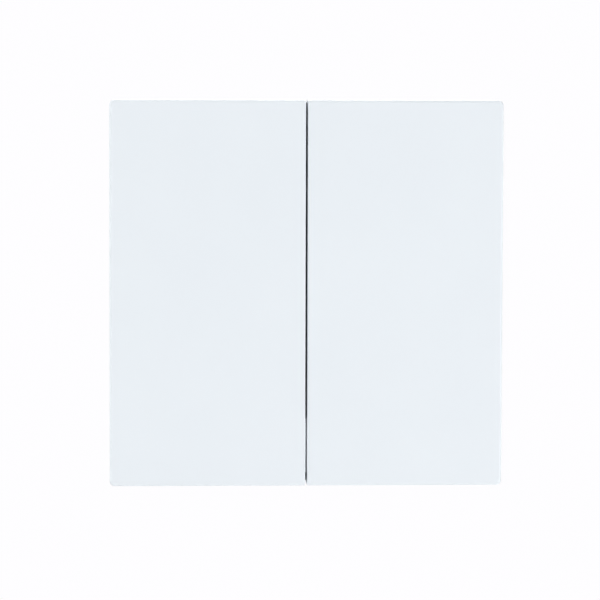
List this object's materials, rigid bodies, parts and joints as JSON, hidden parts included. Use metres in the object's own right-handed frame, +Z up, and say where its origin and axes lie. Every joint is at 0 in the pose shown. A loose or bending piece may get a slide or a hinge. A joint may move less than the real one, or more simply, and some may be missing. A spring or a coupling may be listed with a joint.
{
  "type": "two-gang light switch",
  "caption": "Two-gang rocker light switch: tall white key plates on a wall frame, with changeover contacts in a rear housing.",
  "frame": {"origin": "midway between the two fixing slots, in the wall plane at the back rim of the frame", "axes": "+X right, +Y into the wall, +Z up, as seen by someone facing the switch"},
  "size_m": [0.0876, 0.0332, 0.0863],
  "materials": {
    "cap": "white moulded, smooth gloss",
    "frame": "anthracite moulded, satin",
    "housing": "dark grey moulded, fine texture",
    "tumbler": "ivory moulded, satin",
    "plunger": "natural nylon",
    "spring": "bright spring wire",
    "contact_strip": "stamped copper alloy",
    "silver_tip": "satin silver",
    "terminal": "machined brass",
    "screw": "zinc plated"
  },
  "bodies": {
    "base": {"mounting_frame": "frame", "housing": "housing", "terminal_screws": "screw", "left_common_bracket": "contact_strip", "left_upper_contact": "contact_strip", "left_lower_contact": "contact_strip", "left_fixed_tips": "silver_tip", "left_common_terminal_block": "terminal", "left_upper_terminal_block": "terminal", "left_lower_terminal_block": "terminal", "right_common_bracket": "contact_strip", "right_upper_contact": "contact_strip", "right_lower_contact": "contact_strip", "right_fixed_tips": "silver_tip", "right_common_terminal_block": "terminal", "right_upper_terminal_block": "terminal", "right_lower_terminal_block": "terminal"},
    "left_rocker": {"left_rocker_cap": "cap", "left_tumbler": "tumbler", "left_plunger_spring": "spring"},
    "left_plunger_pin": {"left_plunger": "plunger"},
    "left_contact_arm": {"left_seesaw": "contact_strip", "left_seesaw_tips": "silver_tip"},
    "right_rocker": {"right_rocker_cap": "cap", "right_tumbler": "tumbler", "right_plunger_spring": "spring"},
    "right_plunger_pin": {"right_plunger": "plunger"},
    "right_contact_arm": {"right_seesaw": "contact_strip", "right_seesaw_tips": "silver_tip"}
  },
  "joints": [
    {"name": "left_rocker_hinge", "type": "hinge", "parent": "base", "child": "left_rocker", "pos_m": [-0.0125, -0.0046, 0], "axis": [-1, 0, 0], "range_deg": [0, 6]},
    {"name": "left_plunger_slide", "type": "slide", "parent": "left_rocker", "child": "left_plunger_pin", "axis": [0, -0.9986, -0.0523], "range_m": [0, 0.0008], "stiffness_N_per_m": 600, "springref_m": -0.002, "deforming": ["left_plunger_spring"]},
    {"name": "left_contact_hinge", "type": "hinge", "parent": "base", "child": "left_contact_arm", "pos_m": [-0.0125, 0.0115, 0], "axis": [1, 0, 0], "range_deg": [0, 20]},
    {"name": "right_rocker_hinge", "type": "hinge", "parent": "base", "child": "right_rocker", "pos_m": [0.0125, -0.0046, 0], "axis": [-1, 0, 0], "range_deg": [0, 6]},
    {"name": "right_plunger_slide", "type": "slide", "parent": "right_rocker", "child": "right_plunger_pin", "axis": [0, -0.9986, -0.0523], "range_m": [0, 0.0008], "stiffness_N_per_m": 600, "springref_m": -0.002, "deforming": ["right_plunger_spring"]},
    {"name": "right_contact_hinge", "type": "hinge", "parent": "base", "child": "right_contact_arm", "pos_m": [0.0125, 0.0115, 0], "axis": [1, 0, 0], "range_deg": [0, 20]}
  ],
  "couplings": [
    {"joint": "left_contact_hinge", "follows": "left_rocker_hinge", "ratio": 3.3333},
    {"joint": "right_contact_hinge", "follows": "right_rocker_hinge", "ratio": 3.3333}
  ]
}
